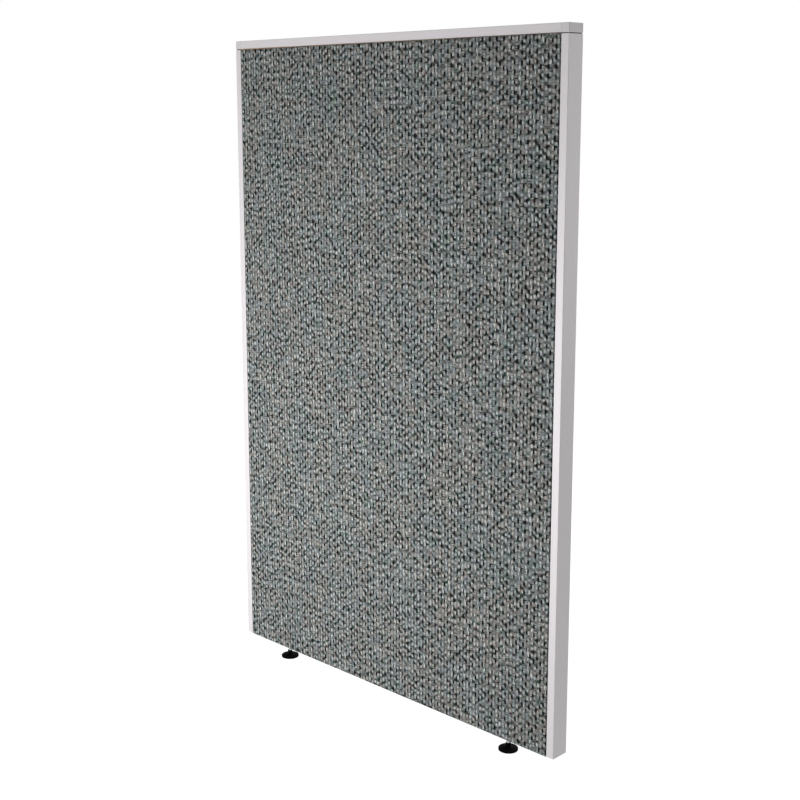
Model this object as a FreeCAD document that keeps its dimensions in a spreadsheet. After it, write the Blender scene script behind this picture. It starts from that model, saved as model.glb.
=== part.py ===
import FreeCAD, Part
import os
import Sketcher

# A free-standing fabric screen wall: a timber core frame faced with upholstered boards, trimmed on
# both sides and along the top with aluminium extrusions joined by moulded corner caps, standing on
# two screw-in levelling feet.
#
# Frame: millimetres, +Z up, +X along the width, the front face towards -Y. The origin is on the
# floor, midway between the feet. Every right-hand piece is drawn once, and the left-hand one is the
# same piece turned half a turn about Z.

SIZES = {
    # the whole screen
    "panel_width": 1200,
    "panel_height": 1800,
    "foot_height": 41,          # floor to the screen's lower edge
    # aluminium posts and top rail
    "frame_depth": 54,
    "post_face": 22.5,
    "rail_face": 22.5,
    "profile_wall": 1.6,
    "profile_corner": 1.6,      # rounds the long edges of the extrusions and all of a cap's
    "flange_length": 14,        # the two flanges that grip the timber's tenon
    "flange_wall": 1.8,
    "joint_gap": 0.4,           # hairline between the top rail and a corner cap
    # corner caps
    "cap_wall": 2.5,
    "spigot_length": 40,
    "spigot_clearance": 0.2,
    "spigot_lead": 1.0,         # chamfer that leads a spigot into its extrusion
    "groove_height": 2.2,       # shadow groove between a cap and its post
    "groove_depth": 2.2,
    # plugs in the lower ends of the posts
    "plug_height": 14,
    "plug_wall": 1.5,
    "plug_floor": 2,
    # timber core frame
    "core_thickness": 38,
    "timber_width": 45,
    "tenon_gap": 3,             # end of a tenon to the bottom of its channel
    "tenon_clearance": 0.15,
    "shoulder_gap": 0.3,
    "bottom_recess": 2,         # the core's lower edge stands this far above the facings' edge
    "dowel_diameter": 8,
    "dowel_length": 40,
    "dowel_spacing": 22,
    "dowel_clearance": 0.1,
    "dowel_end_gap": 1,
    "dowel_chamfer": 0.8,
    # upholstered facings
    "board_thickness": 9,
    "fabric_thickness": 1.5,
    "facing_gap": 0.6,          # facing to post or rail
    "bare_edge": 1.6,           # the fabric is trimmed this far below the board's upper edge
    # countersunk screws through the flanges
    "screw_diameter": 3.5,
    "screw_head": 6.8,
    "screw_length": 16,
    "screw_tip": 3,
    "screw_clearance": 0.1,
    "screw_end_distance": 100,
    "rail_screw_spacing": 400,
    # pan-head screws that hold the spigots
    "cap_screw_head": 6.5,
    "cap_screw_head_height": 2.2,
    "cap_screw_length": 8,
    # levelling feet
    "foot_inset": 167.3,        # end of the screen to a foot's axis
    "base_diameter": 52,
    "base_edge": 5,             # top of the base's rim above the floor
    "base_fillet": 1.5,
    "hub_diameter": 14,
    "hub_foot_diameter": 22,
    "hub_foot_height": 7.5,
    "hub_height": 20,
    "sole_diameter": 44,
    "sole_thickness": 1.9,
    "sole_proud": 0.4,
    "sole_clearance": 0.2,
    "socket_floor": 3.5,
    "swivel_clearance": 0.1,
    "snap_level": 12,           # retaining groove in the stud above the floor
    "snap_height": 2,
    "snap_depth": 0.8,
    "stud_diameter": 10,
    "stud_top": 66,             # upper end of the stud above the floor
    "stud_chamfer": 1,
    "flats_width": 8,           # across the spanner flats
    "flats_height": 6,
    "flats_rise": 1,            # hub to the flats
    "foot_travel": 12,          # each way from the middle setting
    # tee nuts
    "nut_flange_diameter": 26,
    "nut_flange_thickness": 1.6,
    "nut_barrel_diameter": 12.4,
    "nut_barrel_length": 14,
    "nut_clearance": 0.1,
    "thread_clearance": 0.05,
    "stud_bore_clearance": 1,
    "prong_height": 8,
    "prong_width": 5,
    "prong_thickness": 1.6,
    "prong_inset": 0.8,
}

POST_SCREWS = 5                 # along each flange of a post
PRONGS = 4

# Levels and distances that several pieces share, worked out from the sheet.
HALF_WIDTH = "(Sizes.panel_width / 2)"
HALF_DEPTH = "(Sizes.frame_depth / 2)"
HALF_CORE = "(Sizes.core_thickness / 2)"
POST_INNER = "(Sizes.panel_width / 2 - Sizes.post_face)"
PANEL_BOTTOM = "Sizes.foot_height"
PANEL_TOP = "(Sizes.foot_height + Sizes.panel_height)"
RAIL_BOTTOM = f"({PANEL_TOP} - Sizes.rail_face)"
POST_TOP = f"({RAIL_BOTTOM} - Sizes.groove_height)"
FLANGE_EDGE = f"({POST_INNER} - Sizes.flange_length)"
FLANGE_INNER = f"({HALF_CORE} - Sizes.flange_wall)"
RAIL_FLANGE_EDGE = f"({RAIL_BOTTOM} - Sizes.flange_length)"
HALF_TENON = f"({FLANGE_INNER} - Sizes.tenon_clearance)"
STILE_OUTER = f"({FLANGE_EDGE} - Sizes.shoulder_gap)"
STILE_INNER = f"({STILE_OUTER} - Sizes.timber_width)"
TIMBER_BOTTOM = f"({PANEL_BOTTOM} + Sizes.bottom_recess)"
TIMBER_TOP = f"({RAIL_FLANGE_EDGE} - Sizes.shoulder_gap)"
FACING_EDGE = f"({POST_INNER} - Sizes.facing_gap)"
FACING_TOP = f"({RAIL_BOTTOM} - Sizes.facing_gap)"
FABRIC_TOP = f"({FACING_TOP} - Sizes.bare_edge)"
FOOT_X = "(Sizes.panel_width / 2 - Sizes.foot_inset)"
PILOT_RADIUS = "(Sizes.screw_diameter / 2 + Sizes.screw_clearance)"
POST_SCREW_X = f"({POST_INNER} - Sizes.flange_length / 2)"
RAIL_SCREW_Z = f"({RAIL_BOTTOM} - Sizes.flange_length / 2)"
CAP_SCREW_DROP = "(Sizes.spigot_length / 2)"
BATTEN_MIDDLES = {
    "sill_batten": f"({TIMBER_BOTTOM} + Sizes.timber_width / 2)",
    "mid_batten": f"({PANEL_BOTTOM} + Sizes.panel_height / 2)",
    "head_batten": f"({TIMBER_TOP} - Sizes.timber_width / 2)",
}
SIDES = {"right": 0, "left": 180}    # turn about Z in degrees
FACES = {"front": 0, "rear": 180}

doc = FreeCAD.newDocument("ScreenWall")
sheet = doc.addObject("Spreadsheet::Sheet", "Sizes")
for row, (alias, size) in enumerate(SIZES.items(), start=1):
    sheet.set(f"A{row}", alias)
    sheet.set(f"B{row}", str(size))
    sheet.setAlias(f"B{row}", alias)
doc.recompute()


def value(expression):
    return float(sheet.evalExpression(expression))


def new_body(name, turn=0):
    body = doc.addObject("PartDesign::Body", name)
    body.Label = name
    about_z = FreeCAD.Rotation(FreeCAD.Vector(0, 0, 1), turn)
    body.Placement = FreeCAD.Placement(FreeCAD.Vector(0, 0, 0), about_z)
    return body


def new_sketch(body, role, name, offset="0"):
    """A sketch on one of the body's own origin planes, moved along that plane's normal."""
    plane = next(item for item in body.Origin.OriginFeatures if item.Role == role)
    sketch = body.newObject("Sketcher::SketchObject", name)
    sketch.AttachmentSupport = [(plane, "")]
    sketch.MapMode = "FlatFace"
    sketch.setExpression("AttachmentOffset.Base.z", offset)
    return sketch


def fix(sketch, kind, geometry, point, expression):
    """Ties one coordinate of a point to an expression, measured from the sketch's origin."""
    rule = Sketcher.Constraint(kind, -1, 1, geometry, point, value(expression))
    index = sketch.addConstraint(rule)
    sketch.setExpression(f"Constraints[{index}]", expression)


def outline(sketch, points):
    """A closed outline of straight lines through points given as pairs of expressions."""
    corners = [FreeCAD.Vector(value(across), value(up), 0) for across, up in points]
    first = sketch.GeometryCount
    count = len(corners)
    for index in range(count):
        line = Part.LineSegment(corners[index], corners[(index + 1) % count])
        sketch.addGeometry(line, False)
    for index in range(count):
        following = first + (index + 1) % count
        sketch.addConstraint(Sketcher.Constraint("Coincident", first + index, 2, following, 1))
    for index, (across, up) in enumerate(points):
        fix(sketch, "DistanceX", first + index, 1, across)
        fix(sketch, "DistanceY", first + index, 1, up)


def rectangle(sketch, low_across, high_across, low_up, high_up):
    outline(sketch, [(low_across, low_up), (high_across, low_up),
                     (high_across, high_up), (low_across, high_up)])


def circle(sketch, across, up, radius):
    middle = FreeCAD.Vector(value(across), value(up), 0)
    round_line = Part.Circle(middle, FreeCAD.Vector(0, 0, 1), value(radius))
    geometry = sketch.addGeometry(round_line, False)
    fix(sketch, "DistanceX", geometry, 3, across)
    fix(sketch, "DistanceY", geometry, 3, up)
    index = sketch.addConstraint(Sketcher.Constraint("Radius", geometry, value(radius)))
    sketch.setExpression(f"Constraints[{index}]", radius)


def pad(body, sketch, length, both_ways=False, backwards=False):
    feature = body.newObject("PartDesign::Pad", f"{sketch.Name}_pad")
    feature.Profile = sketch
    feature.Midplane = both_ways
    feature.Reversed = backwards
    feature.setExpression("Length", length)
    doc.recompute()
    return feature


def pocket(body, sketch, length, both_ways=False, backwards=False):
    before = body.Shape.Volume
    feature = body.newObject("PartDesign::Pocket", f"{sketch.Name}_pocket")
    feature.Profile = sketch
    feature.Midplane = both_ways
    feature.Reversed = backwards
    feature.setExpression("Length", length)
    doc.recompute()
    if not body.Shape.Volume < before:
        raise RuntimeError(f"{feature.Name} cuts nothing")
    return feature


def revolve(body, sketch):
    feature = body.newObject("PartDesign::Revolution", f"{sketch.Name}_turned")
    feature.Profile = sketch
    feature.ReferenceAxis = (sketch, ["V_Axis"])
    feature.Angle = 360
    doc.recompute()
    return feature


def edges_where(feature, test):
    edges = enumerate(feature.Shape.Edges, start=1)
    return [f"Edge{number}" for number, edge in edges if test(edge)]


def round_edges(body, feature, name, radius, test):
    fillet = body.newObject("PartDesign::Fillet", name)
    fillet.Base = (feature, edges_where(feature, test))
    fillet.setExpression("Radius", radius)
    doc.recompute()
    return fillet


def chamfer_edges(body, feature, name, size, test):
    chamfer = body.newObject("PartDesign::Chamfer", name)
    chamfer.Base = (feature, edges_where(feature, test))
    chamfer.setExpression("Size", size)
    doc.recompute()
    return chamfer


def near(first, second):
    return abs(first - second) < 1e-4


def ends(edge):
    return [vertex.Point for vertex in edge.Vertexes]


def post_screw_levels():
    """Heights of the screws along a post, evenly spread between the two end distances."""
    low = f"({PANEL_BOTTOM} + Sizes.screw_end_distance)"
    high = f"({RAIL_BOTTOM} - Sizes.screw_end_distance)"
    gaps = POST_SCREWS - 1
    return [f"({low} + ({high} - {low}) * {step} / {gaps})" for step in range(POST_SCREWS)]


def rail_screw_places():
    return [f"({step} * Sizes.rail_screw_spacing)" for step in (-1, 0, 1)]


def countersunk_holes(body, name, places):
    """Screw holes through the front flange and the rear flange at (X, Z) places."""
    for face, side in (("front", 1), ("rear", -1)):
        sketch = new_sketch(body, "XZ_Plane", f"{name}_{face}", f"{side} * {HALF_CORE}")
        for across, up in places:
            circle(sketch, across, up, PILOT_RADIUS)
        doc.recompute()
        before = body.Shape.Volume
        hole = body.newObject("PartDesign::Hole", f"{name}_{face}_holes")
        hole.Profile = sketch
        hole.Threaded = False
        hole.DepthType = "Dimension"
        hole.HoleCutType = "Countersink"
        hole.HoleCutCustomValues = True
        hole.HoleCutCountersinkAngle = 90
        hole.DrillPoint = "Flat"
        hole.Reversed = side < 0
        hole.setExpression("Diameter", f"2 * {PILOT_RADIUS}")
        hole.setExpression("Depth", "2 * Sizes.flange_wall")
        hole.setExpression("HoleCutDiameter", "Sizes.screw_head + 2 * Sizes.screw_clearance")
        doc.recompute()
        if not body.Shape.Volume < before:
            raise RuntimeError(f"{hole.Name} cuts nothing")


def section(face_in, face_out, flange_end):
    """The extrusion's outline and chamber, as (towards the screen's edge, depth) pairs."""
    solid = [
        (face_out, f"-{HALF_DEPTH}"), (face_out, HALF_DEPTH),
        (face_in, HALF_DEPTH), (face_in, HALF_CORE),
        (flange_end, HALF_CORE), (flange_end, FLANGE_INNER),
        (face_in, FLANGE_INNER), (face_in, f"-{FLANGE_INNER}"),
        (flange_end, f"-{FLANGE_INNER}"), (flange_end, f"-{HALF_CORE}"),
        (face_in, f"-{HALF_CORE}"), (face_in, f"-{HALF_DEPTH}"),
    ]
    near_wall = f"({face_in} + Sizes.profile_wall)"
    far_wall = f"({face_out} - Sizes.profile_wall)"
    inside = f"({HALF_DEPTH} - Sizes.profile_wall)"
    chamber = [(near_wall, f"-{inside}"), (far_wall, f"-{inside}"),
               (far_wall, inside), (near_wall, inside)]
    return solid, chamber


def make_post(side, turn):
    """Side post: a hollow extrusion with a channel on its inner side for the core's tenon."""
    body = new_body(f"post_{side}", turn)
    sketch = new_sketch(body, "XY_Plane", f"post_{side}_section", PANEL_BOTTOM)
    solid, chamber = section(POST_INNER, HALF_WIDTH, FLANGE_EDGE)
    outline(sketch, solid)
    outline(sketch, chamber)
    tube = pad(body, sketch, f"{POST_TOP} - {PANEL_BOTTOM}")
    depth = value(HALF_DEPTH)

    def outer_arris(edge):
        return all(near(abs(point.y), depth) for point in ends(edge)) and edge.Length > 2 * depth

    round_edges(body, tube, f"post_{side}_corners", "Sizes.profile_corner", outer_arris)
    countersunk_holes(body, f"post_{side}_screw",
                      [(POST_SCREW_X, level) for level in post_screw_levels()])
    cap_screw = new_sketch(body, "YZ_Plane", f"post_{side}_cap_screw", POST_INNER)
    circle(cap_screw, "0", f"({POST_TOP} - {CAP_SCREW_DROP})", PILOT_RADIUS)
    pocket(body, cap_screw, "Sizes.profile_wall", backwards=True)
    return body


def make_top_rail():
    """Top rail: the same extrusion laid flat, its flanges cut back to clear those of the posts."""
    body = new_body("top_rail")
    sketch = new_sketch(body, "YZ_Plane", "top_rail_section")
    solid, chamber = section(RAIL_BOTTOM, PANEL_TOP, RAIL_FLANGE_EDGE)
    outline(sketch, [(depth, up) for up, depth in solid])
    outline(sketch, [(depth, up) for up, depth in chamber])
    bar = pad(body, sketch, f"2 * ({POST_INNER} - Sizes.joint_gap)", both_ways=True)
    depth = value(HALF_DEPTH)

    def outer_arris(edge):
        return all(near(abs(point.y), depth) for point in ends(edge)) and edge.Length > 2 * depth

    round_edges(body, bar, "top_rail_corners", "Sizes.profile_corner", outer_arris)
    notches = new_sketch(body, "XZ_Plane", "top_rail_notches")
    stop = f"({FLANGE_EDGE} - Sizes.shoulder_gap)"
    for sign in ("", "-"):
        rectangle(notches, f"{sign}{stop}", f"{sign}{POST_INNER}", RAIL_FLANGE_EDGE, RAIL_BOTTOM)
    pocket(body, notches, "Sizes.core_thickness", both_ways=True)
    countersunk_holes(body, "top_rail_screw",
                      [(place, RAIL_SCREW_Z) for place in rail_screw_places()])
    cap_screws = new_sketch(body, "XY_Plane", "top_rail_cap_screws", RAIL_BOTTOM)
    for sign in ("", "-"):
        circle(cap_screws, f"{sign}({POST_INNER} - {CAP_SCREW_DROP})", "0", PILOT_RADIUS)
    pocket(body, cap_screws, "Sizes.profile_wall", backwards=True)
    return body


def make_corner_cap(side, turn):
    """Corner cap: a cored-out moulding whose two hollow spigots plug into a post and the rail."""
    body = new_body(f"corner_cap_{side}", turn)
    inset = "(Sizes.profile_wall + Sizes.spigot_clearance)"
    foot = f"({POST_TOP} - Sizes.spigot_length)"
    reach = f"({POST_INNER} - Sizes.spigot_length)"
    head = new_sketch(body, "XZ_Plane", f"cap_{side}_head")
    rectangle(head, POST_INNER, HALF_WIDTH, RAIL_BOTTOM, PANEL_TOP)
    block = pad(body, head, "Sizes.frame_depth", both_ways=True)
    inner = value(POST_INNER)

    def shown_arris(edge):
        return not all(near(point.x, inner) for point in ends(edge))

    round_edges(body, block, f"cap_{side}_corners", "Sizes.profile_corner", shown_arris)
    neck = new_sketch(body, "XY_Plane", f"cap_{side}_neck", POST_TOP)
    rectangle(neck, POST_INNER, f"{HALF_WIDTH} - Sizes.groove_depth",
              f"-({HALF_DEPTH} - Sizes.groove_depth)", f"{HALF_DEPTH} - Sizes.groove_depth")
    pad(body, neck, "Sizes.groove_height")
    down = new_sketch(body, "XY_Plane", f"cap_{side}_post_spigot", foot)
    rectangle(down, f"{POST_INNER} + {inset}", f"{HALF_WIDTH} - {inset}",
              f"-({HALF_DEPTH} - {inset})", f"{HALF_DEPTH} - {inset}")
    pad(body, down, "Sizes.spigot_length")
    across = new_sketch(body, "YZ_Plane", f"cap_{side}_rail_spigot", reach)
    rectangle(across, f"-({HALF_DEPTH} - {inset})", f"{HALF_DEPTH} - {inset}",
              f"{RAIL_BOTTOM} + {inset}", f"{PANEL_TOP} - {inset}")
    spigots = pad(body, across, "Sizes.spigot_length")
    foot_level = value(foot)
    reach_level = value(reach)

    def spigot_mouth(edge):
        points = ends(edge)
        return (all(near(point.z, foot_level) for point in points)
                or all(near(point.x, reach_level) for point in points))

    chamfer_edges(body, spigots, f"cap_{side}_leads", "Sizes.spigot_lead", spigot_mouth)
    wall = f"({inset} + Sizes.cap_wall)"
    up_core = new_sketch(body, "XY_Plane", f"cap_{side}_post_core", foot)
    rectangle(up_core, f"{POST_INNER} + {wall}", f"{HALF_WIDTH} - {wall}",
              f"-({HALF_DEPTH} - {wall})", f"{HALF_DEPTH} - {wall}")
    pocket(body, up_core, f"{PANEL_TOP} - {wall} - {foot}", backwards=True)
    side_core = new_sketch(body, "YZ_Plane", f"cap_{side}_rail_core", reach)
    rectangle(side_core, f"-({HALF_DEPTH} - {wall})", f"{HALF_DEPTH} - {wall}",
              f"{RAIL_BOTTOM} + {wall}", f"{PANEL_TOP} - {wall}")
    pocket(body, side_core, f"{POST_INNER} + {wall} - {reach}", backwards=True)
    post_screw = new_sketch(body, "YZ_Plane", f"cap_{side}_post_screw", POST_INNER)
    circle(post_screw, "0", f"({POST_TOP} - {CAP_SCREW_DROP})", PILOT_RADIUS)
    pocket(body, post_screw, wall, backwards=True)
    rail_screw = new_sketch(body, "XY_Plane", f"cap_{side}_rail_screw", RAIL_BOTTOM)
    circle(rail_screw, f"({POST_INNER} - {CAP_SCREW_DROP})", "0", PILOT_RADIUS)
    pocket(body, rail_screw, wall, backwards=True)
    return body


def make_post_plug(side, turn):
    """Plug pressed into the lower end of a post: a floor with a thin skirt."""
    body = new_body(f"post_plug_{side}", turn)
    inset = "(Sizes.profile_wall + Sizes.spigot_clearance)"
    skirt = f"({inset} + Sizes.plug_wall)"
    block = new_sketch(body, "XY_Plane", f"plug_{side}_block", PANEL_BOTTOM)
    rectangle(block, f"{POST_INNER} + {inset}", f"{HALF_WIDTH} - {inset}",
              f"-({HALF_DEPTH} - {inset})", f"{HALF_DEPTH} - {inset}")
    pad(body, block, "Sizes.plug_height")
    hollow = new_sketch(body, "XY_Plane", f"plug_{side}_hollow",
                        f"{PANEL_BOTTOM} + Sizes.plug_height")
    rectangle(hollow, f"{POST_INNER} + {skirt}", f"{HALF_WIDTH} - {skirt}",
              f"-({HALF_DEPTH} - {skirt})", f"{HALF_DEPTH} - {skirt}")
    pocket(body, hollow, "Sizes.plug_height - Sizes.plug_floor")
    return body


def dowel_levels(middle):
    return [f"({middle} - Sizes.dowel_spacing / 2)", f"({middle} + Sizes.dowel_spacing / 2)"]


def dowel_holes(body, name, offset, levels, outwards):
    """Blind holes for half a dowel each, bored along X from the face at the offset."""
    sketch = new_sketch(body, "YZ_Plane", name, offset)
    for level in levels:
        circle(sketch, "0", level, "Sizes.dowel_diameter / 2 + Sizes.dowel_clearance")
    pocket(body, sketch, "Sizes.dowel_length / 2 + Sizes.dowel_end_gap", backwards=outwards)


def make_stile(side, turn):
    """Upright of the core frame, with a tenon along its outer edge for the post's channel."""
    body = new_body(f"stile_{side}", turn)
    sketch = new_sketch(body, "XY_Plane", f"stile_{side}_section", TIMBER_BOTTOM)
    tenon_end = f"({POST_INNER} - Sizes.tenon_gap)"
    outline(sketch, [
        (STILE_INNER, f"-{HALF_CORE}"), (STILE_OUTER, f"-{HALF_CORE}"),
        (STILE_OUTER, f"-{HALF_TENON}"), (tenon_end, f"-{HALF_TENON}"),
        (tenon_end, HALF_TENON), (STILE_OUTER, HALF_TENON),
        (STILE_OUTER, HALF_CORE), (STILE_INNER, HALF_CORE),
    ])
    pad(body, sketch, f"{TIMBER_TOP} - {TIMBER_BOTTOM}")
    pilots = new_sketch(body, "XZ_Plane", f"stile_{side}_pilots")
    for level in post_screw_levels():
        circle(pilots, POST_SCREW_X, level, PILOT_RADIUS)
    pocket(body, pilots, "Sizes.core_thickness", both_ways=True)
    levels = [level for middle in BATTEN_MIDDLES.values() for level in dowel_levels(middle)]
    dowel_holes(body, f"stile_{side}_dowels", STILE_INNER, levels, True)
    return body


def make_batten(name, tenon=False):
    """Cross member between the stiles; the head batten has a tenon for the top rail's channel."""
    body = new_body(name)
    middle = BATTEN_MIDDLES[name]
    low = f"({middle} - Sizes.timber_width / 2)"
    high = f"({middle} + Sizes.timber_width / 2)"
    sketch = new_sketch(body, "YZ_Plane", f"{name}_section")
    if tenon:
        tenon_end = f"({RAIL_BOTTOM} - Sizes.tenon_gap)"
        outline(sketch, [
            (f"-{HALF_CORE}", low), (HALF_CORE, low), (HALF_CORE, high), (HALF_TENON, high),
            (HALF_TENON, tenon_end), (f"-{HALF_TENON}", tenon_end),
            (f"-{HALF_TENON}", high), (f"-{HALF_CORE}", high),
        ])
    else:
        rectangle(sketch, f"-{HALF_CORE}", HALF_CORE, low, high)
    pad(body, sketch, f"2 * {STILE_INNER}", both_ways=True)
    dowel_holes(body, f"{name}_right_dowels", STILE_INNER, dowel_levels(middle), False)
    dowel_holes(body, f"{name}_left_dowels", f"-{STILE_INNER}", dowel_levels(middle), True)
    if tenon:
        pilots = new_sketch(body, "XZ_Plane", f"{name}_pilots")
        for place in rail_screw_places():
            circle(pilots, place, RAIL_SCREW_Z, PILOT_RADIUS)
        pocket(body, pilots, "Sizes.core_thickness", both_ways=True)
    return body


def make_sill_batten():
    """Lowest cross member, bored from below for the two tee nuts and the studs above them."""
    body = make_batten("sill_batten")
    barrel = "(Sizes.nut_barrel_diameter / 2 + Sizes.nut_clearance)"
    bore = "(Sizes.stud_diameter / 2 + Sizes.stud_bore_clearance)"
    nuts = new_sketch(body, "XY_Plane", "sill_nut_bores", TIMBER_BOTTOM)
    studs = new_sketch(body, "XY_Plane", "sill_stud_bores", TIMBER_BOTTOM)
    for sign in ("", "-"):
        circle(nuts, f"{sign}{FOOT_X}", "0", barrel)
        circle(studs, f"{sign}{FOOT_X}", "0", bore)
    pocket(body, nuts, "Sizes.nut_barrel_length + Sizes.nut_clearance", backwards=True)
    highest_stud = "(Sizes.stud_top + Sizes.foot_travel + Sizes.stud_bore_clearance)"
    pocket(body, studs, f"{highest_stud} - {TIMBER_BOTTOM}", backwards=True)
    return body


def facing_sketch(body, name, edge_inset, top):
    """The facing's rectangle, drawn on the core frame's front and drawn in by an inset."""
    sketch = new_sketch(body, "XZ_Plane", name, HALF_CORE)
    rectangle(sketch, f"-({FACING_EDGE} - {edge_inset})", f"{FACING_EDGE} - {edge_inset}",
              f"{PANEL_BOTTOM} + {edge_inset}", top)
    return sketch


def make_board(face, turn):
    """Facing board, glued to the core frame; its upper edge stays bare below the top rail."""
    body = new_body(f"{face}_board", turn)
    sketch = facing_sketch(body, f"{face}_board_face", "Sizes.fabric_thickness", FACING_TOP)
    pad(body, sketch, "Sizes.board_thickness")
    return body


def make_fabric(face, turn):
    """Fabric bonded to the board's face and folded round its sides and its lower edge. It is cut
    flush with the board's back, and trimmed straight along the top."""
    body = new_body(f"{face}_fabric", turn)
    sketch = facing_sketch(body, f"{face}_fabric_face", "0", FABRIC_TOP)
    cover = pad(body, sketch, "Sizes.board_thickness + Sizes.fabric_thickness")
    front = -value(f"{HALF_CORE} + Sizes.board_thickness + Sizes.fabric_thickness")
    top = value(FABRIC_TOP)

    def folded_arris(edge):
        points = ends(edge)
        return (all(near(point.y, front) for point in points)
                and not all(near(point.z, top) for point in points))

    round_edges(body, cover, f"{face}_fabric_fold", "Sizes.fabric_thickness", folded_arris)
    inside = facing_sketch(body, f"{face}_fabric_inside", "Sizes.fabric_thickness", FACING_TOP)
    pocket(body, inside, "Sizes.board_thickness", backwards=True)
    return body


def place_at_foot(body, side, level="0"):
    sign = "" if side == "right" else "-"
    body.setExpression("Placement.Base.x", f"{sign}{FOOT_X}")
    body.setExpression("Placement.Base.z", level)


def make_tee_nut(side, turn):
    """Tee nut driven into the sill from below: flange, barrel and prongs bent up at the rim."""
    body = new_body(f"tee_nut_{side}", turn)
    place_at_foot(body, side, TIMBER_BOTTOM)
    bore = "(Sizes.stud_diameter / 2 + Sizes.thread_clearance)"
    flange = "(Sizes.nut_flange_diameter / 2)"
    barrel = "(Sizes.nut_barrel_diameter / 2)"
    sketch = new_sketch(body, "XZ_Plane", f"nut_{side}_section")
    outline(sketch, [
        (bore, "-Sizes.nut_flange_thickness"), (flange, "-Sizes.nut_flange_thickness"),
        (flange, "0"), (barrel, "0"), (barrel, "Sizes.nut_barrel_length"),
        (bore, "Sizes.nut_barrel_length"),
    ])
    revolve(body, sketch)
    prong_outer = f"({flange} - Sizes.prong_inset)"
    prong = new_sketch(body, "XY_Plane", f"nut_{side}_prong")
    rectangle(prong, f"{prong_outer} - Sizes.prong_thickness", prong_outer,
              "-Sizes.prong_width / 2", "Sizes.prong_width / 2")
    upright = pad(body, prong, "Sizes.prong_height")
    ring = body.newObject("PartDesign::PolarPattern", f"nut_{side}_prongs")
    ring.Originals = [upright]
    ring.Axis = (prong, ["N_Axis"])
    ring.Angle = 360
    ring.Occurrences = PRONGS
    body.Tip = ring
    doc.recompute()
    return body


def make_foot_base(side, turn):
    """Foot base: a turned-form moulding, a disc rising to a hub with a snap-in socket."""
    body = new_body(f"foot_base_{side}", turn)
    place_at_foot(body, side)
    rim = "(Sizes.base_diameter / 2)"
    hub = "(Sizes.hub_diameter / 2)"
    hub_foot = "(Sizes.hub_foot_diameter / 2)"
    sole = "(Sizes.sole_diameter / 2 + Sizes.sole_clearance)"
    bore = "(Sizes.stud_diameter / 2 + Sizes.swivel_clearance)"
    lip = f"({bore} - Sizes.snap_depth)"
    lip_low = "(Sizes.snap_level + Sizes.swivel_clearance)"
    lip_high = "(Sizes.snap_level + Sizes.snap_height - Sizes.swivel_clearance)"
    sketch = new_sketch(body, "XZ_Plane", f"base_{side}_section")
    outline(sketch, [
        ("0", "Sizes.sole_thickness"), (sole, "Sizes.sole_thickness"),
        (sole, "Sizes.sole_proud"), (rim, "Sizes.sole_proud"), (rim, "Sizes.base_edge"),
        (hub_foot, "Sizes.hub_foot_height"), (hub, "Sizes.hub_foot_height + Sizes.base_fillet"),
        (hub, "Sizes.hub_height"), (bore, "Sizes.hub_height"), (bore, lip_high),
        (lip, lip_high), (lip, lip_low), (bore, lip_low),
        (bore, "Sizes.socket_floor"), ("0", "Sizes.socket_floor"),
    ])
    form = revolve(body, sketch)
    rim_radius = value(rim)
    hub_radius = value(hub)
    edge_level = value("Sizes.base_edge")
    hub_level = value("Sizes.hub_height")

    def shown_rim(edge):
        curve = edge.Curve
        if not hasattr(curve, "Radius"):
            return False
        level = curve.Center.z
        return (near(curve.Radius, rim_radius) and near(level, edge_level)
                or near(curve.Radius, hub_radius) and near(level, hub_level))

    round_edges(body, form, f"base_{side}_rounds", "Sizes.base_fillet / 2", shown_rim)
    return body


def make_foot_sole(side, turn):
    """Rubber sole set in the recess under the base."""
    body = new_body(f"foot_sole_{side}", turn)
    place_at_foot(body, side)
    sketch = new_sketch(body, "XY_Plane", f"sole_{side}_outline")
    circle(sketch, "0", "0", "Sizes.sole_diameter / 2")
    pad(body, sketch, "Sizes.sole_thickness")
    return body


def make_foot_stud(side, turn):
    """Threaded stud: a retaining groove at its lower end, then spanner flats, then the thread."""
    body = new_body(f"foot_stud_{side}", turn)
    place_at_foot(body, side)
    shank = "(Sizes.stud_diameter / 2)"
    groove = f"({shank} - Sizes.snap_depth)"
    nose = f"({shank} - Sizes.stud_chamfer)"
    low = "(Sizes.socket_floor + Sizes.swivel_clearance)"
    sketch = new_sketch(body, "XZ_Plane", f"stud_{side}_section")
    outline(sketch, [
        ("0", low), (nose, low), (shank, f"{low} + Sizes.stud_chamfer"),
        (shank, "Sizes.snap_level"), (groove, "Sizes.snap_level"),
        (groove, "Sizes.snap_level + Sizes.snap_height"),
        (shank, "Sizes.snap_level + Sizes.snap_height"),
        (shank, "Sizes.stud_top - Sizes.stud_chamfer"),
        (nose, "Sizes.stud_top"), ("0", "Sizes.stud_top"),
    ])
    revolve(body, sketch)
    flats = new_sketch(body, "XY_Plane", f"stud_{side}_flats",
                       "Sizes.hub_height + Sizes.flats_rise")
    for sign in ("", "-"):
        rectangle(flats, f"-{shank}", shank, f"{sign}Sizes.flats_width / 2",
                  f"{sign}Sizes.stud_diameter")
    pocket(body, flats, "Sizes.flats_height", backwards=True)
    return body


def make_countersunk_screw():
    """One wood screw, head up, its flat head's face on the XY plane."""
    body = new_body("countersunk_screw")
    head = "(Sizes.screw_head / 2)"
    shank = "(Sizes.screw_diameter / 2)"
    sketch = new_sketch(body, "XZ_Plane", "screw_section")
    outline(sketch, [
        ("0", "0"), (head, "0"), (shank, f"{shank} - {head}"),
        (shank, "Sizes.screw_tip - Sizes.screw_length"), ("0", "-Sizes.screw_length"),
    ])
    revolve(body, sketch)
    return body


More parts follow.
